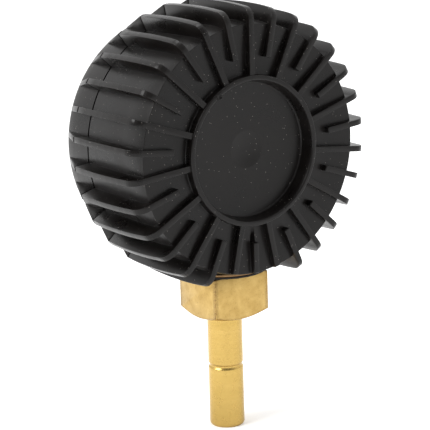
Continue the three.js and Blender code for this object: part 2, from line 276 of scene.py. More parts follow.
def newGroup(name, inputs, outputs):
    group = bpy.data.node_groups.new(name, "ShaderNodeTree")
    for label, kind in inputs:
        group.interface.new_socket(name=label, in_out="INPUT", socket_type=kind)
    for label, kind in outputs:
        group.interface.new_socket(name=label, in_out="OUTPUT", socket_type=kind)
    source = group.nodes.new("NodeGroupInput")
    sink = group.nodes.new("NodeGroupOutput")
    return group, source.outputs, sink.inputs


# shares of the grain's scale and height
grainShares = {"pitScale": 0.6, "pitDepth": 0.35, "patchScale": 0.03}


def grainGroup():
    # fine moulded or cast texture, with wide soft patches
    group, given, result = newGroup(
        "fineGrain",
        [("Vector", "NodeSocketVector"), ("Scale", "NodeSocketFloat")],
        [("Height", "NodeSocketFloat"), ("Patches", "NodeSocketFloat")],
    )
    fine = addNode(group, "ShaderNodeTexNoise", {
        "Vector": given["Vector"],
        "Scale": given["Scale"],
        "Detail": 4.0,
    })
    pits = addNode(group, "ShaderNodeTexVoronoi", {
        "Vector": given["Vector"],
        "Scale": calc(group, "MULTIPLY", given["Scale"], grainShares["pitScale"]),
    })
    wide = addNode(group, "ShaderNodeTexNoise", {
        "Vector": given["Vector"],
        "Scale": calc(group, "MULTIPLY", given["Scale"], grainShares["patchScale"]),
        "Detail": 3.0,
    })
    pitted = calc(group, "MULTIPLY", pits.outputs["Distance"], grainShares["pitDepth"])
    height = calc(group, "ADD", fine.outputs["Fac"], pitted)
    group.links.new(height, result["Height"])
    group.links.new(wide.outputs["Fac"], result["Patches"])
    return group


# cells per metre, a speck's radius in cells, and the share of cells that stay clean
dust = {"scale": 900.0, "size": 0.12, "clean": 0.78}


def dustGroup():
    # scattered pale specks
    group, given, result = newGroup(
        "dustSpecks",
        [
            ("Vector", "NodeSocketVector"),
            ("Scale", "NodeSocketFloat"),
            ("Size", "NodeSocketFloat"),
        ],
        [("Mask", "NodeSocketFloat")],
    )
    cells = addNode(group, "ShaderNodeTexVoronoi", {
        "Vector": given["Vector"],
        "Scale": given["Scale"],
    })
    spot = calc(group, "LESS_THAN", cells.outputs["Distance"], given["Size"])
    chosen = addNode(group, "ShaderNodeTexWhiteNoise", {"Vector": cells.outputs["Position"]})
    few = calc(group, "GREATER_THAN", chosen.outputs["Value"], dust["clean"])
    group.links.new(calc(group, "MULTIPLY", spot, few), result["Mask"])
    return group


def wornEdgeGroup():
    # where the surface turns sharply
    group, given, result = newGroup(
        "wornEdges",
        [("Radius", "NodeSocketFloat"), ("Gain", "NodeSocketFloat")],
        [("Mask", "NodeSocketFloat")],
    )
    softened = addNode(group, "ShaderNodeBevel", {"Radius": given["Radius"]}, samples=4)
    surface = addNode(group, "ShaderNodeNewGeometry")
    normals = {0: softened.outputs["Normal"], 1: surface.outputs["Normal"]}
    match = addNode(group, "ShaderNodeVectorMath", normals, operation="DOT_PRODUCT")
    turned = calc(group, "SUBTRACT", 1.0, match.outputs["Value"], True)
    group.links.new(calc(group, "MULTIPLY", turned, given["Gain"], True), result["Mask"])
    return group


bandShare = 0.07  # the scale of the wide bands, as a share of the fine lines' scale


def toolMarkGroup():
    # rings left by a cutting tool, across the axis that the piece was turned on
    group, given, result = newGroup(
        "toolMarks",
        [("Along", "NodeSocketFloat"), ("Scale", "NodeSocketFloat")],
        [("Height", "NodeSocketFloat"), ("Bands", "NodeSocketFloat")],
    )
    lines = addNode(group, "ShaderNodeTexNoise", {
        "W": given["Along"],
        "Scale": given["Scale"],
        "Detail": 5.0,
    }, noise_dimensions="1D")
    bands = addNode(group, "ShaderNodeTexNoise", {
        "W": given["Along"],
        "Scale": calc(group, "MULTIPLY", given["Scale"], bandShare),
        "Detail": 2.0,
    }, noise_dimensions="1D")
    group.links.new(lines.outputs["Fac"], result["Height"])
    group.links.new(bands.outputs["Fac"], result["Bands"])
    return group


fineGrain = grainGroup()
dustSpecks = dustGroup()
wornEdges = wornEdgeGroup()
toolMarks = toolMarkGroup()


def useGroup(tree, group, inputs):
    node = tree.nodes.new("ShaderNodeGroup")
    node.node_tree = group
    for name, value in inputs.items():
        if isinstance(value, bpy.types.NodeSocket):
            tree.links.new(value, node.inputs[name])
        else:
            node.inputs[name].default_value = value
    return node.outputs


def newMaterial(name, fixed):
    material = bpy.data.materials.new(name)
    material.use_nodes = True
    tree = material.node_tree
    shader = tree.nodes["Principled BSDF"]
    for socket, value in fixed.items():
        shader.inputs[socket].default_value = value
    place = addNode(tree, "ShaderNodeTexCoord").outputs["Object"]
    return material, tree, shader, place


def connectBump(tree, shader, height, look):
    strength, distance = look["bump"]
    bump = addNode(tree, "ShaderNodeBump", {
        "Height": height,
        "Strength": strength,
        "Distance": distance,
    })
    tree.links.new(bump.outputs["Normal"], shader.inputs["Normal"])


def connectRoughness(tree, shader, pattern, look):
    # from the low value where the pattern is dark to the high one where it is pale
    low, high = look["roughness"]
    start, end = look["roughnessSpread"]
    level = ramp(tree, pattern, [(start, grey(low)), (end, grey(high))])
    tree.links.new(level, shader.inputs["Roughness"])


nylonLook = {
    "dark": (0.0038, 0.0031, 0.0028),
    "light": (0.0066, 0.0054, 0.0049),
    "patchSpread": (0.35, 0.65),
    "scuffed": (0.050, 0.049, 0.048),
    "edgeRadius": 0.0005,
    "edgeGain": 2.2,
    "scratchScale": 900.0,
    "scratchStretch": (1.0, 0.12, 1.0),
    "scratchSpread": (0.42, 0.62),
    "scratchFaint": 0.1,
    "dust": (0.26, 0.24, 0.22),
    "dustRoughness": 0.9,
    "roughness": (0.24, 0.36),
    "roughnessSpread": (0.3, 0.7),
    "grainScale": 2600.0,
    "bump": (0.35, 0.00006),
    "specular": 0.225,
}
capLook = dict(nylonLook, dark=(0.012, 0.012, 0.013), roughness=(0.42, 0.56))


def mouldedPlastic(name, look):
    material, tree, shader, place = newMaterial(name, {"Specular IOR Level": look["specular"]})
    grain = useGroup(tree, fineGrain, {"Vector": place, "Scale": look["grainScale"]})
    edges = useGroup(tree, wornEdges, {"Radius": look["edgeRadius"], "Gain": look["edgeGain"]})
    specks = useGroup(tree, dustSpecks, {
        "Vector": place,
        "Scale": dust["scale"],
        "Size": dust["size"],
    })["Mask"]
    # edges are scuffed paler where the scratches run
    drawnOut = addNode(tree, "ShaderNodeMapping", {
        "Vector": place,
        "Scale": look["scratchStretch"],
    })
    scratches = addNode(tree, "ShaderNodeTexNoise", {
        "Vector": drawnOut.outputs["Vector"],
        "Scale": look["scratchScale"],
        "Detail": 6.0,
    })
    low, high = look["scratchSpread"]
    faint = grey(look["scratchFaint"])
    scratched = ramp(tree, scratches.outputs["Fac"], [(low, faint), (high, grey(1))])
    scuffs = calc(tree, "MULTIPLY", edges["Mask"], scratched)
    low, high = look["patchSpread"]
    patches = ramp(tree, grain["Patches"], [(low, grey(0)), (high, grey(1))])
    base = mixed(tree, patches, look["dark"], look["light"])
    base = mixed(tree, scuffs, base, look["scuffed"])
    base = mixed(tree, specks, base, look["dust"])
    tree.links.new(base, shader.inputs["Base Color"])
    low, high = look["roughness"]
    start, end = look["roughnessSpread"]
    smear = ramp(tree, grain["Patches"], [(start, grey(low)), (end, grey(high))])
    roughness = mixed(tree, specks, smear, grey(look["dustRoughness"]))
    tree.links.new(roughness, shader.inputs["Roughness"])
    connectBump(tree, shader, grain["Height"], look)
    return material


brassLook = {
    "pale": (0.57, 0.39, 0.125),
    "deep": (0.45, 0.30, 0.08),
    "stain": (0.13, 0.07, 0.03),
    "roughness": (0.20, 0.34),
    "roughnessSpread": (0.3, 0.75),
    "grainScale": 2200.0,
    "grainShare": 0.4,
    "markScale": 4200.0,
    "blotchScale": 210.0,
    "blotchSpread": (0.36, 0.66),
    "fleckScale": 1500.0,
    "spotSpread": (0.60, 0.70),
    "rimSpread": (0.40, 0.58),
    "rimFaint": 0.25,
    "edgeRadius": 0.0016,
    "edgeGain": 9.0,
    "bump": (0.3, 0.00005),
    "cloud": 0.35,
    "bands": 0.7,
    "spots": 0.25,
    "rim": 0.3,
    "cornerDarkening": 0.0,
}
blockLook = dict(
    brassLook,
    pale=(0.515, 0.355, 0.128),
    deep=(0.40, 0.26, 0.08),
    roughness=(0.26, 0.44),
    markScale=900.0,
    bump=(0.22, 0.00005),
    cloud=0.9,
    bands=0.25,
    spots=0.55,
    rim=0.9,
    cornerDarkening=0.42,
    cornerReach=0.0250,
    cornerGain=1200.0,
    cornerSpread=(0.38, 0.60),
    cornerFaint=0.35,
)
# the port's brass in a deep brown: painted shade from the drum that overhangs its flange
flangeShadeLook = dict(
    blockLook,
    pale=(0.24, 0.15, 0.075),
    deep=(0.15, 0.09, 0.045),
    markScale=4200.0,
    bump=(0.3, 0.00005),
    cornerDarkening=0.0,
)


def brassFinish(name, look):
    material, tree, shader, place = newMaterial(name, {"Metallic": 1.0})
    parts = addNode(tree, "ShaderNodeSeparateXYZ", {"Vector": place}).outputs
    grain = useGroup(tree, fineGrain, {"Vector": place, "Scale": look["grainScale"]})
    marks = useGroup(tree, toolMarks, {"Along": parts["Z"], "Scale": look["markScale"]})
    blotch = addNode(tree, "ShaderNodeTexNoise", {
        "Vector": place,
        "Scale": look["blotchScale"],
        "Detail": 7.0,
        "Roughness": 0.72,
    }).outputs["Fac"]
    fleck = addNode(tree, "ShaderNodeTexNoise", {
        "Vector": place,
        "Scale": look["fleckScale"],
        "Detail": 3.0,
    }).outputs["Fac"]
    edges = useGroup(tree, wornEdges, {"Radius": look["edgeRadius"], "Gain": look["edgeGain"]})
    low, high = look["blotchSpread"]
    cloudy = ramp(tree, blotch, [(low, grey(0)), (high, grey(1))])
    deepening = calc(tree, "MULTIPLY", cloudy, look["cloud"])
    base = mixed(tree, deepening, look["pale"], look["deep"])
    banded = calc(tree, "MULTIPLY", marks["Bands"], look["bands"])
    base = mixed(tree, banded, base, look["deep"])
    # brown tarnish in spots, and thicker where the surface turns at an edge
    low, high = look["spotSpread"]
    spots = calc(tree, "MULTIPLY", ramp(tree, fleck, [(low, grey(0)), (high, grey(1))]), cloudy)
    low, high = look["rimSpread"]
    speckled = ramp(tree, fleck, [(low, grey(look["rimFaint"])), (high, grey(1))])
    rim = calc(tree, "MULTIPLY", edges["Mask"], speckled)
    spots = calc(tree, "MULTIPLY", spots, look["spots"])
    rim = calc(tree, "MULTIPLY", rim, look["rim"])
    tarnish = calc(tree, "ADD", spots, rim, True)
    if look["cornerDarkening"]:
        # darker speckles along the block's upright corners, where the distances along X and Y add
        # up to most
        across = calc(tree, "ABSOLUTE", parts["X"])
        reach = calc(tree, "ADD", across, calc(tree, "ABSOLUTE", parts["Y"]))
        past = calc(tree, "SUBTRACT", reach, look["cornerReach"])
        corner = calc(tree, "MULTIPLY", past, look["cornerGain"], True)
        low, high = look["cornerSpread"]
        cornerSpeckles = ramp(tree, fleck, [(low, grey(look["cornerFaint"])), (high, grey(1))])
        cornerSpeckles = calc(tree, "MULTIPLY", cornerSpeckles, look["cornerDarkening"])
        tarnish = calc(tree, "MAXIMUM", tarnish, calc(tree, "MULTIPLY", corner, cornerSpeckles))
    base = mixed(tree, tarnish, base, look["stain"])
    tree.links.new(base, shader.inputs["Base Color"])
    connectRoughness(tree, shader, blotch, look)
    grained = calc(tree, "MULTIPLY", grain["Height"], look["grainShare"])
    connectBump(tree, shader, calc(tree, "ADD", marks["Height"], grained), look)
    return material


rubberLook = {
    "main": (0.010, 0.010, 0.010),
    "patches": (0.022, 0.021, 0.021),
    "roughness": (0.6, 0.82),
    "roughnessSpread": (0.3, 0.7),
    "grainScale": 1800.0,
    "bump": (0.4, 0.00008),
    "fixed": {"Specular IOR Level": 0.3},
}
naturalLook = {
    "main": (0.78, 0.76, 0.70),
    "patches": (0.70, 0.68, 0.61),
    "roughness": (0.4, 0.55),
    "roughnessSpread": (0.3, 0.7),
    "grainScale": 2000.0,
    "bump": (0.3, 0.00005),
    "fixed": {"Specular IOR Level": 0.45, "Subsurface Weight": 0.05},
}


def plainFinish(name, look):
    # two close tones in wide patches over a fine grain
    material, tree, shader, place = newMaterial(name, look["fixed"])
    grain = useGroup(tree, fineGrain, {"Vector": place, "Scale": look["grainScale"]})
    base = mixed(tree, grain["Patches"], look["main"], look["patches"])
    tree.links.new(base, shader.inputs["Base Color"])
    connectRoughness(tree, shader, grain["Patches"], look)
    connectBump(tree, shader, grain["Height"], look)
    return material


nickelLook = {
    "pale": (0.72, 0.68, 0.60),
    "dull": (0.60, 0.57, 0.52),
    "roughness": (0.18, 0.32),
    "roughnessSpread": (0.3, 0.7),
    "markScale": 5200.0,
    "grainScale": 2600.0,
    "bump": (0.25, 0.00004),
}
steelLook = dict(
    nickelLook, pale=(0.62, 0.62, 0.62), dull=(0.52, 0.52, 0.53), roughness=(0.24, 0.38)
)


def turnedMetal(name, look):
    material, tree, shader, place = newMaterial(name, {"Metallic": 1.0})
    parts = addNode(tree, "ShaderNodeSeparateXYZ", {"Vector": place}).outputs
    marks = useGroup(tree, toolMarks, {"Along": parts["Y"], "Scale": look["markScale"]})
    grain = useGroup(tree, fineGrain, {"Vector": place, "Scale": look["grainScale"]})
    base = mixed(tree, grain["Patches"], look["pale"], look["dull"])
    tree.links.new(base, shader.inputs["Base Color"])
    connectRoughness(tree, shader, grain["Patches"], look)
    connectBump(tree, shader, marks["Height"], look)
    return material


blackNylon = mouldedPlastic("blackNylon", nylonLook)
capPlastic = mouldedPlastic("capPlastic", capLook)
turnedBrass = brassFinish("turnedBrass", brassLook)
milledBrass = brassFinish("milledBrass", blockLook)
# deep brown brass with painted shade, for the port under the drum
shadedPortBrass = brassFinish("shadedPortBrass", flangeShadeLook)
blackRubber = plainFinish("blackRubber", rubberLook)
nickelPlate = turnedMetal("nickelPlate", nickelLook)
plainSteel = turnedMetal("plainSteel", steelLook)
naturalPlastic = plainFinish("naturalPlastic", naturalLook)
print("materials ready")


def dress(piece, material, body, slot, *nodes):
    piece.data.materials.clear()
    piece.data.materials.append(material)
    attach(piece, body)
    if nodes:
        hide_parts(*nodes)


# drum, front half
fins = {
    "count": 30,
    "thickness": 2.4,
    "topY": -25.1,
    "tipRadius": 57.8,
    "seamRadius": 59.0,
    "crownRise": 1.2,
    "crownGap": 0.8,
    "cornerRadius": 5.0,
    "shortStart": 38.2,
    "longStart": 30.1,
    "startRounding": 0.55,
    "rootRadius": 50.2,
    "rootY": -20.6,
    "cutRadius": 51.0,
    "cutFootRadius": 50.7,
    "edge": 0.32,
}

frontBody = {
    "steps": 180,
    "rounding": 4,
    "floorY": -19.4,
    "dimple": ((0, 0.66), (2.6, 0.6), (5.0, 0.38), (6.8, 0.12)),  # radius, depth in the floor
    "dimpleRadius": 7.8,
    "recessRadius": 28.4,
    "ringY": -26.0,
    "ringRadius": 31.0,
    "faceY": -21.9,
    "faceBow": ((40, -22.2), (45, -22.5), (50.9, -22.88)),
    "edgeY": -22.9,
    "edgeRadius": 51.4,
    "wallFront": ((51.45, -22.6), (52.7, -18.6), (52.5, -9.0)),
    "wallBack": ((52.5, -8.0), (52.6, 4.0), (52.3, 18.0)),
    "seamRadius": 52.3,
    "stepRadius": 51.1,
    "beadRadius": 50.0,
    "beadY": 15.4,
    "innerRadius": 48.0,
    "inside": (
        (48.0, -17.0), (46.0, -19.0), (33.3, -18.7), (31.8, -17.3), (30.3, -15.8), (0, -15.8),
    ),
}
seamLine = 0.4  # depth of the groove along the seam, on either side of it
seamGap = 0.15  # half the gap between the two shells

# land for the brass flange under the drum, and the port through it
land = {
    "sides": 96,
    "radius": 18.1,
    "clearRadius": 18.5,
    "portRadius": 13.5,
    "seatZ": 71.3,
    "topZ": 76.0,
    "lowZ": 60.0,
    "portTopZ": 84.0,
    "hollowRadius": 50.2,
    "hollowY": (-26.0, 18.8),
}


def frontProfile(v):
    floorY, ringY, recess = v["floorY"], v["ringY"], v["recessRadius"]
    return [
        *[(radius, floorY + depth) for radius, depth in v["dimple"]],
        (v["dimpleRadius"], floorY, 0.6),
        # recess wall, flaring towards the front
        (recess - 0.75, floorY, 0.3),
        (recess - 0.62, floorY - 0.32, 0.1),
        *bowed(
            (recess - 0.5, floorY - 0.45),
            (recess - 0.1, floorY - 3.6),
            (recess + 0.15, ringY + 1.2),
            4,
        ),
        (recess + 0.55, ringY + 0.2, 0.6),
        (recess + 1.0, ringY, 0.3),
        (v["ringRadius"], ringY, 0.6),
        (v["ringRadius"], v["faceY"], 0.35),
        *bowed(*v["faceBow"], 2),
        (v["edgeRadius"], v["edgeY"], 0.25),
        *bowed(*v["wallFront"], 10),
        *bowed(*v["wallBack"], 6),
        # stepped joint at the seam, then the inside of the shell
        (v["seamRadius"], seamY - seamLine, 0.3),
        (v["stepRadius"], seamY - seamLine),
        (v["stepRadius"], seamY - seamGap),
        (v["beadRadius"], seamY - seamGap),
        (v["beadRadius"], v["beadY"]),
        (v["innerRadius"], v["beadY"]),
        *v["inside"],
    ]


def frontFin(name, startRadius, full):
    v = fins
    topY, tip, corner = v["topY"], v["tipRadius"], v["cornerRadius"]
    corners = [(startRadius, v["rootY"]), (startRadius, topY, v["startRounding"])]
    if full:
        # the crown leaves the rounded corner in its own direction
        crown = v["seamRadius"] + v["crownRise"]
        middleY = (topY + seamY) / 2
        slope = (crown - tip) / (middleY - topY)
        reach = corner + v["crownGap"]
        corners += [(tip, topY, corner)]
        corners += bowed(
            (tip + slope * reach, topY + corner + v["crownGap"]),
            (crown, middleY),
            (v["seamRadius"], seamY - seamLine),
            8,
        )
        corners += [(v["rootRadius"], seamY - seamLine), (v["rootRadius"], v["rootY"])]
    else:
        corners += [
            (v["cutRadius"], topY, 0.6),
            (frontBody["edgeRadius"], frontBody["edgeY"] + 0.4),
            (v["cutFootRadius"], v["rootY"]),
        ]
    corners += [(startRadius, v["rootY"])]
    points = [drumPoint(r, y, -v["thickness"] / 2) for r, y in roundedCorners(corners, 6)]
    return slabFromOutline(name, points, v["thickness"], v["edge"])


def turnedCopy(piece, angle):
    # a copy with its own mesh, turned about the drum's axis
    pickOnly(piece)
    bpy.ops.object.duplicate(linked=False)
    copy = bpy.context.object
    bpy.ops.object.mode_set(mode="EDIT")
    bpy.ops.mesh.select_all(action="SELECT")
    bpy.ops.transform.rotate(
        value=angle, orient_axis="Y", orient_type="GLOBAL", center_override=drumCentre
    )
    bpy.ops.object.mode_set(mode="OBJECT")
    return copy


def spacedFins(piece, first, step):
    # every second fin, without the three at the bottom
    count = fins["count"]
    turns = [k for k in range(first, count, 2) if min(k, count - k) > 1]
    made = [turnedCopy(piece, step * k) for k in turns]
    bpy.data.objects.remove(piece)
    return made


def upright(name, radius, low, high):
    return cylinderPiece(name, radius, low, high, "Z", (0, 0, 0), land["sides"])


def makeFrontShell():
    step = 2 * math.pi / fins["count"]
    v = frontBody
    shell = turnedOnDrum("frontShell", frontProfile(v), v["steps"], v["rounding"])
    made = spacedFins(frontFin("shortFin", fins["shortStart"], True), 0, step)
    made += spacedFins(frontFin("longFin", fins["longStart"], True), 1, step)
    # the three bottom fins stop at the wall, over the brass
    cutLong = frontFin("cutLongFin", fins["longStart"], False)
    cutShort = frontFin("cutShortFin", fins["shortStart"], False)
    made += [cutShort, turnedCopy(cutLong, step), turnedCopy(cutLong, -step)]
    bpy.data.objects.remove(cutLong)
    combine(shell, joined(made), "UNION")
    v = land
    boss = upright("boss", v["radius"], v["seatZ"], v["topZ"])
    hollow = cylinderPiece(
        "hollow", v["hollowRadius"], *v["hollowY"], "Y", drumCentre, frontBody["steps"]
    )
    combine(boss, hollow, "DIFFERENCE")
    combine(shell, boss, "UNION")
    combine(shell, upright("under", v["clearRadius"], v["lowZ"], v["seatZ"]), "DIFFERENCE")
    combine(shell, upright("port", v["portRadius"], v["lowZ"], v["portTopZ"]), "DIFFERENCE")
    return smoothed(shell)


frontShell = makeFrontShell()
dress(frontShell, blackNylon, "vessel", "black_nylon", "front_shell")
print("front shell", len(frontShell.data.polygons))

# the gate mark left on the ring, at its angle from straight down
gateMark = {
    "steps": 28,
    "radius": 1.35,
    "rimRadius": 0.95,
    "rimWidth": 0.4,
    "rise": 0.4,
    "pit": 0.12,
    "sink": 0.3,
    "edge": 0.1,
    "rounding": 0.12,
    "onRadius": 29.3,
    "degrees": 145.0,
}


def makeGateMark():
    v, ringY = gateMark, frontBody["ringY"]
    pitY, rimY, footY = ringY + v["pit"], ringY - v["rise"], ringY + v["sink"]
    mark = turnedOnDrum("gateMark", [
        (0, pitY),
        (v["rimRadius"] - v["rimWidth"], pitY, v["edge"]),
        (v["rimRadius"], rimY, v["rounding"]),
        (v["radius"] - v["edge"], rimY, v["rounding"]),
        (v["radius"] + v["edge"], footY),
        (0, footY),
    ], v["steps"], 2)
    pickOnly(mark)
    bpy.ops.object.mode_set(mode="EDIT")
    bpy.ops.mesh.select_all(action="SELECT")
    turn = math.radians(v["degrees"])
    across, down = -v["onRadius"] * mm * math.sin(turn), -v["onRadius"] * mm * math.cos(turn)
    bpy.ops.transform.translate(value=(across, 0, down))
    bpy.ops.object.mode_set(mode="OBJECT")
    return smoothed(mark)


gatePiece = makeGateMark()
dress(gatePiece, blackNylon, "vessel", "black_nylon")

# drum, back half
rearBody = {
    "steps": 180,
    "rounding": 4,
    "seamRadius": 52.3,
    "wall": ((52.45, 26.0), (52.4, 31.0)),
    "shoulder": ((52.2, 35.0), (51.6, 39.4), (44.5, 41.6)),
    "backRadius": 43.0,
    "backY": 42.0,
    "ringGroove": (34.8, 37.2),
    "ringGrooveDepth": 0.55,
    "wellRadius": 16.0,
    "wellFloorY": 26.5,
    "seatRadius": 7.9,
    "seatDepth": 0.01,
    "stemHoleRadius": 4.3,
    "inside": (
        (4.3, 23.0), (17.6, 23.0), (19.6, 25.0), (20.1, 36.9), (21.6, 38.4), (41.4, 38.4),
        (46.5, 34.0), (48.0, 30.0),
    ),
    "innerRadius": 48.0,
    "lipRadius": (47.2, 49.7),
    "stepRadius": 51.1,
    "finEndY": 35.0,
    "finEndRadius": 52.5,
    "finFootRadius": 51.4,
}


def rearProfile(v):
    backY, floorY, wellRadius = v["backY"], v["wellFloorY"], v["wellRadius"]
    grooveIn, grooveOut = v["ringGroove"]
    grooveY = backY - v["ringGrooveDepth"]
    lipIn, lipOut = v["lipRadius"]
    return [
        (v["seamRadius"], seamY + seamLine, 0.3),
        *v["wall"],
        *bowed(*v["shoulder"], 9),
        (v["backRadius"], backY - 0.1),
        # shallow ring turned into the flat back
        (grooveOut, backY, 0.2),
        (grooveOut - 0.4, grooveY, 0.2),
        (grooveIn + 0.4, grooveY, 0.2),
        (grooveIn, backY, 0.2),
        # the valve's well, with the washer's seat in its floor
        (wellRadius + 0.6, backY, 0.6),
        (wellRadius - 1.5, floorY, 1.2),
        (v["seatRadius"], floorY),
        (v["seatRadius"], floorY - v["seatDepth"]),
        (v["stemHoleRadius"], floorY - v["seatDepth"], 0.3),
        *v["inside"],
        # lip that goes into the front half
        (v["innerRadius"], seamY + seamGap),
        (lipIn, seamY - seamLine),
        (lipOut, seamY - seamLine),
        (lipOut, seamY + seamGap),
        (v["stepRadius"], seamY + seamGap),
        (v["stepRadius"], seamY + seamLine),
        (v["seamRadius"], seamY + seamLine),
    ]


def makeRearShell():
    v = rearBody
    shell = turnedOnDrum("rearShell", rearProfile(v), v["steps"], v["rounding"])
    startY, endY = seamY + seamLine, v["finEndY"]
    corners = [
        (fins["rootRadius"], startY),
        (fins["seamRadius"], startY),
        (v["finEndRadius"], endY),
        (v["finFootRadius"], endY + 0.5),
        (fins["rootRadius"], endY),
        (fins["rootRadius"], startY),
    ]
    points = [drumPoint(r, y, -fins["thickness"] / 2) for r, y in corners]
    fin = slabFromOutline("rearFin", points, fins["thickness"], fins["edge"])
    step = 2 * math.pi / fins["count"]
    made = [fin] + [turnedCopy(fin, step * k) for k in range(1, fins["count"])]
    combine(shell, joined(made), "UNION")
    return smoothed(shell)


rearShell = makeRearShell()
dress(rearShell, blackNylon, "vessel", "black_nylon", "rear_shell")
print("rear shell", len(rearShell.data.polygons))

# brass adaptor: a square block over a round spigot
adaptor = {
    "side": 27.0,
    "corner": 1.1,
    "edge": 0.16,
    "bottomZ": 49.5,
    "topZ": 68.6,
    "chamferRadius": 12.9,
    "chamferRise": 0.42,
    "chamferReach": 21.0,
    "spigotSteps": 128,
    "spigotRadius": 7.5,
    "boreRadius": 6.0,
    "boreTopZ": 60.0,
    "grooveZ": 27.0,
    "grooveDepth": 0.5,
    "grooveHalf": 0.35,
    "grooveShoulder": 1.1,
    "socketRadius": 10.7,
    "socketZ": 54.8,
    "socketTopZ": 75.0,
}


def makeBlock():
    v = adaptor
    clearSelection()
    middleZ, height = (v["topZ"] + v["bottomZ"]) / 2, v["topZ"] - v["bottomZ"]
    bpy.ops.mesh.primitive_cube_add(
        size=mm, location=(0, 0, middleZ * mm), scale=(v["side"], v["side"], height)
    )
    block = bpy.context.object
    block.name = "spigotAdaptor"
    block.data.name = "spigotAdaptor"
    bpy.ops.object.transform_apply(location=True, rotation=True, scale=True)
    # the four upright corners
    bpy.ops.object.mode_set(mode="EDIT")
    bpy.ops.mesh.select_all(action="DESELECT")
    edit = bmesh.from_edit_mesh(block.data)
    for edge in edit.edges:
        a, b = edge.verts
        edge.select_set(abs(a.co.z - b.co.z) > mm)
    bmesh.update_edit_mesh(block.data)
    bpy.ops.mesh.bevel(offset=v["corner"] * mm, segments=1, affect="EDGES")
    bpy.ops.object.mode_set(mode="OBJECT")
    # the lower corners turned off to a cone
    wide, bottomZ, overTop = v["chamferReach"], v["bottomZ"], v["topZ"] + 2
    chamfer = turnedOnStem("chamfer", [
        (0, bottomZ),
        (v["chamferRadius"], bottomZ),
        (wide, bottomZ + (wide - v["chamferRadius"]) * v["chamferRise"]),
        (wide, overTop),
        (0, overTop),
    ], 180)
    combine(block, chamfer, "INTERSECT")
    pickOnly(block)
    bpy.ops.object.mode_set(mode="EDIT")
    bpy.ops.mesh.select_all(action="DESELECT")
    bpy.ops.mesh.edges_select_sharp(sharpness=math.radians(18))
    bpy.ops.mesh.bevel(offset=v["edge"] * mm, segments=2, affect="EDGES", clamp_overlap=True)
    bpy.ops.object.mode_set(mode="OBJECT")
    return block


def makeAdaptor():
    v = adaptor
    block = makeBlock()
    r, bore, groove, bottomZ = v["spigotRadius"], v["boreRadius"], v["grooveZ"], v["bottomZ"]
    grooveRadius, half, shoulder = r - v["grooveDepth"], v["grooveHalf"], v["grooveShoulder"]
    spigot = turnedOnStem("spigot", [
        (bore - 0.5, 6.0),
        (bore, 0.4, 0.3),
        (bore + 0.3, 0.0, 0.1),
        (r - 0.5, 0.0, 0.15),
        (r, 1.0, 0.4),
        (r, groove - shoulder, 0.3),
        (grooveRadius, groove - half, 0.25),
        (grooveRadius, groove + half, 0.25),
        (r, groove + shoulder, 0.3),
        (r, bottomZ - 0.5, 0.45),
        (r + 0.5, bottomZ + 0.1),
        (r + 0.5, bottomZ + 2),
        (bore - 0.5, bottomZ + 2),
        (bore - 0.5, 6.0),
    ], v["spigotSteps"], 4)
    combine(block, spigot, "UNION")
    combine(block, upright("bore", bore, -3, v["boreTopZ"]), "DIFFERENCE")
    socket = upright("socket", v["socketRadius"], v["socketZ"], v["socketTopZ"])
    combine(block, socket, "DIFFERENCE")
    return smoothed(block, 24)


adaptorPiece = makeAdaptor()
dress(adaptorPiece, milledBrass, "vessel", "brass", "spigot_adaptor")
adaptorPiece.data.materials.append(turnedBrass)
for face in adaptorPiece.data.polygons:
    if face.center.z < (adaptor["bottomZ"] - 0.05) * mm:
        face.material_index = 1

# brass port that the adaptor screws onto, sealed in the drum's wall
port = {
    "steps": 128,
    "boreRadius": 6.5,
    "lowZ": 56.9,
    "threadRadius": 10.4,
    "threadLead": 0.8,
    "flangeRadius": 18.2,
    "flangeZ": (69.8, 71.0),
    "neckRadius": 13.2,
    "sealGrooveRadius": 11.2,
    "sealGrooveZ": (72.6, 74.8),
    "topZ": 75.8,
}


def makePort():
    v = port
    bore, thread, lead = v["boreRadius"], v["threadRadius"], v["threadLead"]
    flange, neck, inGroove = v["flangeRadius"], v["neckRadius"], v["sealGrooveRadius"]
    flangeLow, flangeHigh = v["flangeZ"]
    grooveLow, grooveHigh = v["sealGrooveZ"]
    return smoothed(turnedOnStem("portInsert", [
        (bore, v["lowZ"]),
        (thread - lead, v["lowZ"]),
        (thread, v["lowZ"] + lead),
        (thread, flangeLow),
        (flange, flangeLow, 0.3),
        (flange, flangeHigh, 0.3),
        (neck, flangeHigh),
        (neck, grooveLow),
        (inGroove, grooveLow),
        (inGroove, grooveHigh),
        (neck, grooveHigh),
        (neck, v["topZ"], 0.3),
        (bore, v["topZ"], 0.3),
        (bore, v["lowZ"]),
    ], v["steps"]))


# the port wears the deep brown brass, which is painted shade under the drum
dress(makePort(), shadedPortBrass, "vessel", "brass", "port_insert")
print("brass ready")

# charging valve
valve = {
    "steps": 64,
    "stemRadius": 3.85,
    "threadDepth": 0.42,
    "threadPitch": 0.794,
    "threadCrest": 0.12,
    "threadFlank": 0.28,
    "threadFoot": 0.1,
    "threadLowY": 28.4,
    "threadHighY": 38.0,
    "topY": 38.5,
    "topChamfer": 0.45,
    "coreBore": 2.65,
    "coreStopY": 29.0,
    "gasBore": 2.2,
    "headY": (17.6, 20.1),
    "headRadius": 7.0,
    "neckRadius": 4.0,
    "neckY": 27.5,
}


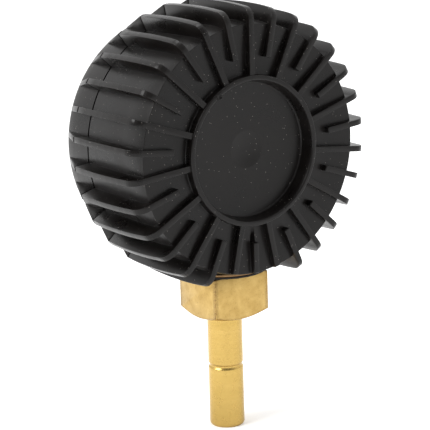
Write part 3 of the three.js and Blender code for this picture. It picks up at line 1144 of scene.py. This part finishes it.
def makeValveStem():
    v = valve
    r, topY, core, gas = v["stemRadius"], v["topY"], v["coreBore"], v["gasBore"]
    headLow, headHigh = v["headY"]
    thread = []
    y = v["threadLowY"]
    while y + v["threadPitch"] < v["threadHighY"]:
        footY = y + v["threadCrest"] + v["threadFlank"]
        thread += [
            (r, y),
            (r, y + v["threadCrest"]),
            (r - v["threadDepth"], footY),
            (r - v["threadDepth"], footY + v["threadFoot"]),
        ]
        y += v["threadPitch"]
    corners = [
        (gas, headLow),
        (v["headRadius"] - 0.6, headLow),
        (v["headRadius"], headLow + 0.6),
        (v["headRadius"], headHigh),
        (v["neckRadius"], headHigh),
        (v["neckRadius"], v["neckY"]),
        (r, v["neckY"] + 0.3),
        *thread,
        (r, topY - v["topChamfer"], 0.1),
        (r - v["topChamfer"], topY, 0.1),
        (core + 0.2, topY),
        (core, topY - 0.2),
        (core, v["coreStopY"]),
        (gas, v["coreStopY"]),
        (gas, headLow),
    ]
    return smoothed(turnedOnDrum("valveStem", corners, v["steps"], 2), 30)


dress(makeValveStem(), nickelPlate, "vessel", "nickel", "valve_body")

washer = {"steps": 64, "holeRadius": 4.2, "radius": 7.6, "lowY": 26.8, "highY": 27.8, "edge": 0.15}


def makeWasher():
    v = washer
    hole, outer, low, high = v["holeRadius"], v["radius"], v["lowY"], v["highY"]
    return smoothed(turnedOnDrum("valveWasher", [
        (hole, low),
        (outer, low, v["edge"]),
        (outer, high, v["edge"]),
        (hole, high, v["edge"]),
        (hole, low),
    ], v["steps"]))


dress(makeWasher(), plainSteel, "vessel", "steel", "valve_washer")

nut = {
    "acrossFlats": 12.0,
    "lowY": 28.1,
    "highY": 31.6,
    "holeRadius": 4.2,
    "cornerCut": 0.75,
    "cornerRise": 0.6,
    "edge": 0.1,
}


def makeNut():
    v = nut
    low, high, corner = v["lowY"], v["highY"], v["acrossFlats"] / math.sqrt(3)
    piece = cylinderPiece("valveNut", corner, low, high, "Y", drumCentre, 6)
    chamfer = turnedOnDrum("nutChamfer", [
        (0, low),
        (corner - v["cornerCut"], low),
        (corner + 0.3, low + v["cornerRise"]),
        (corner + 0.3, high - v["cornerRise"]),
        (corner - v["cornerCut"], high),
        (0, high),
    ], 96)
    combine(piece, chamfer, "INTERSECT")
    hole = cylinderPiece("nutHole", v["holeRadius"], 20, 40, "Y", drumCentre, 48)
    combine(piece, hole, "DIFFERENCE")
    pickOnly(piece)
    bpy.ops.object.mode_set(mode="EDIT")
    bpy.ops.mesh.select_all(action="DESELECT")
    bpy.ops.mesh.edges_select_sharp(sharpness=math.radians(25))
    bpy.ops.mesh.bevel(offset=v["edge"] * mm, segments=1, affect="EDGES", clamp_overlap=True)
    bpy.ops.object.mode_set(mode="OBJECT")
    return smoothed(piece, 25)


dress(makeNut(), nickelPlate, "vessel", "nickel", "valve_nut")

cap = {
    "radius": 5.0,
    "boreRadius": 4.2,
    "boreTopY": 40.1,
    "openY": 32.2,
    "topY": 41.5,
    "topRounding": 0.9,
    "dishRadius": 2.4,
    "dishDepth": 0.25,
    "ribs": 20,
    "ribDepth": 0.28,
    "ribY": (33.4, 39.9),
    "ribBreaks": (35.5, 38.0),
}


def makeCap():
    v = cap
    ribLow, ribHigh = v["ribY"]
    dishY = v["topY"] - v["dishDepth"]
    piece = turnedOnDrum("dustCap", [
        (v["boreRadius"], v["boreTopY"]),
        (v["boreRadius"], v["openY"], 0.15),
        (v["radius"], v["openY"], 0.3),
        (v["radius"], ribLow),
        *[(v["radius"], y) for y in v["ribBreaks"]],
        (v["radius"], ribHigh),
        (v["radius"], v["topY"], v["topRounding"]),
        (v["dishRadius"], v["topY"], 0.1),
        (v["dishRadius"] - 0.2, dishY, 0.1),
        (0, dishY),
    ], v["ribs"] * 4)
    # grooves between the ribs
    pickOnly(piece)
    bpy.ops.object.mode_set(mode="EDIT")
    bpy.ops.mesh.select_all(action="DESELECT")
    edit = bmesh.from_edit_mesh(piece.data)
    for face in edit.faces:
        place = face.calc_center_median()
        outward = Vector((place.x, 0, place.z - axisHeight))
        turn = math.degrees(math.atan2(outward.x, outward.z)) % (360 / v["ribs"])
        isOuter = outward.length > (v["radius"] - 0.2) * mm
        isGroove = turn < 180 / v["ribs"]
        face.select_set(isOuter and isGroove and ribLow < place.y / mm < ribHigh)
    bmesh.update_edit_mesh(piece.data)
    bpy.ops.mesh.extrude_region_shrink_fatten(
        TRANSFORM_OT_shrink_fatten={"value": -v["ribDepth"] * mm}
    )
    bpy.ops.mesh.select_all(action="DESELECT")
    bpy.ops.object.mode_set(mode="OBJECT")
    # close the inside of the cap over the stem's end
    pickOnly(piece)
    bpy.ops.object.mode_set(mode="EDIT")
    bpy.ops.mesh.select_all(action="DESELECT")
    bpy.ops.mesh.select_non_manifold()
    bpy.ops.mesh.edge_face_add()
    bpy.ops.mesh.select_all(action="SELECT")
    bpy.ops.mesh.normals_make_consistent(inside=False)
    bpy.ops.object.mode_set(mode="OBJECT")
    return smoothed(piece, 30)


dress(makeCap(), capPlastic, "cap", "cap_plastic", "valve_cap")
print("valve ready")

# finishes of the pieces carried over from the frame
carried = {
    "diaphragm": blackRubber,
    "diaphragm_plate": naturalPlastic,
    "port_oring": blackRubber,
    "flange_gasket": blackRubber,
    "adaptor_washer": blackRubber,
    "valve_oring": blackRubber,
    "core_barrel": turnedBrass,
    "core_gasket": naturalPlastic,
    "core_pin": plainSteel,
    "core_seal": blackRubber,
    "core_spring": plainSteel,
    "cap_seal": blackRubber,
}
for name, material in carried.items():
    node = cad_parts[name]
    node.data.materials.clear()
    node.data.materials.append(material)

# soft pieces, given a mesh of their own here; on the real object they give way as the part on them
# moves:
# joint, fixed end in Y, share of the length that is left
yielding = {
    "core_spring": ("core_press", 31.5, 0.727),
    "diaphragm": ("diaphragm_flex", 18.6, 0.431),
}
for name, (joint, fixedY, share) in yielding.items():
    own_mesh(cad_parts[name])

# floor, light and camera
stage = {
    "floorSize": 14.0,
    "floorTone": 0.97,
    "floorGlow": 0.2,
    "bright": 1.3,
    "dim": 0.36,
    "dimSide": (-0.54, -0.81, 0.22),
    "dimFrom": 0.1,
    "dimTo": 0.9,
}


def makeFloor():
    clearSelection()
    bpy.ops.mesh.primitive_plane_add(size=stage["floorSize"], location=(0, 0, 0))
    floor = bpy.context.object
    floor.name = "paleFloor"
    fixed = {"Roughness": 0.9, "Specular IOR Level": 0.1}
    material, tree, shader, place = newMaterial("palePaper", fixed)
    mottle = addNode(tree, "ShaderNodeTexNoise", {"Vector": place, "Scale": 3.0, "Detail": 2.0})
    pale = stage["floorTone"]
    base = mixed(tree, mottle.outputs["Fac"], grey(pale), grey(pale - 0.01))
    tree.links.new(base, shader.inputs["Base Color"])
    tree.links.new(base, shader.inputs["Emission Color"])
    shader.inputs["Emission Strength"].default_value = stage["floorGlow"]
    floor.data.materials.append(material)


makeFloor()

world = bpy.data.worlds.new("studio")
bpy.context.scene.world = world
world.use_nodes = True


def lightWorld(tree):
    # an even white room, dimmer on the side that the object faces
    outward = addNode(tree, "ShaderNodeTexCoord").outputs["Generated"]
    sides = {0: outward, 1: stage["dimSide"]}
    facing = addNode(tree, "ShaderNodeVectorMath", sides, operation="DOT_PRODUCT")
    level = addNode(tree, "ShaderNodeMapRange", {
        "Value": facing.outputs["Value"],
        "From Min": stage["dimFrom"],
        "From Max": stage["dimTo"],
        "To Min": stage["bright"],
        "To Max": stage["dim"],
    }, interpolation_type="SMOOTHSTEP")
    background = tree.nodes["Background"]
    background.inputs["Color"].default_value = (1, 1, 1, 1)
    tree.links.new(level.outputs["Result"], background.inputs["Strength"])


lightWorld(world.node_tree)

lamps = {
    "keyLeft": {"place": (-1.2, 0.1, 1.0), "size": 0.75, "power": 14.0},
    "overhead": {"place": (-0.1, 0.2, 1.7), "size": 0.8, "power": 8.0},
}
lampTarget = Vector((0, 0, 0.1))


def makeLamp(name, v):
    lamp = bpy.data.lights.new(name, "AREA")
    lamp.shape = "SQUARE"
    lamp.size = v["size"]
    lamp.energy = v["power"]
    holder = bpy.data.objects.new(name, lamp)
    bpy.context.scene.collection.objects.link(holder)
    holder.location = v["place"]
    aim = lampTarget - Vector(v["place"])
    holder.rotation_euler = aim.to_track_quat("-Z", "Y").to_euler()


for name, values in lamps.items():
    makeLamp(name, values)

camera = {
    "yaw": 33.494,
    "pitch": 12.73,
    "roll": -1.638,
    "distance": 0.6458,
    "aside": 0.01646,
    "above": 0.02565,
    "lens": 133.75,
}


def makeCamera():
    v = camera
    yaw, pitch, roll = (math.radians(v[k]) for k in ("yaw", "pitch", "roll"))
    flat = math.cos(pitch)
    forward = Vector((math.sin(yaw) * flat, math.cos(yaw) * flat, -math.sin(pitch)))
    level = Vector((math.cos(yaw), -math.sin(yaw), 0))
    upright = level.cross(forward)
    right = math.cos(roll) * level + math.sin(roll) * upright
    up = math.cos(roll) * upright - math.sin(roll) * level
    ringCentre = drumPoint(0, frontBody["ringY"])
    place = ringCentre - forward * v["distance"] - right * v["aside"] - up * v["above"]
    data = bpy.data.cameras.new("camera")
    data.sensor_width = 36
    data.lens = v["lens"]
    data.clip_start = 0.01
    data.clip_end = 100
    holder = bpy.data.objects.new("camera", data)
    bpy.context.scene.collection.objects.link(holder)
    turn = Matrix((right, up, -forward)).transposed()
    holder.matrix_world = Matrix.Translation(place) @ turn.to_4x4()
    bpy.context.scene.camera = holder


makeCamera()
bpy.context.scene.view_settings.view_transform = "Standard"
print("stage ready")

clearSelection()
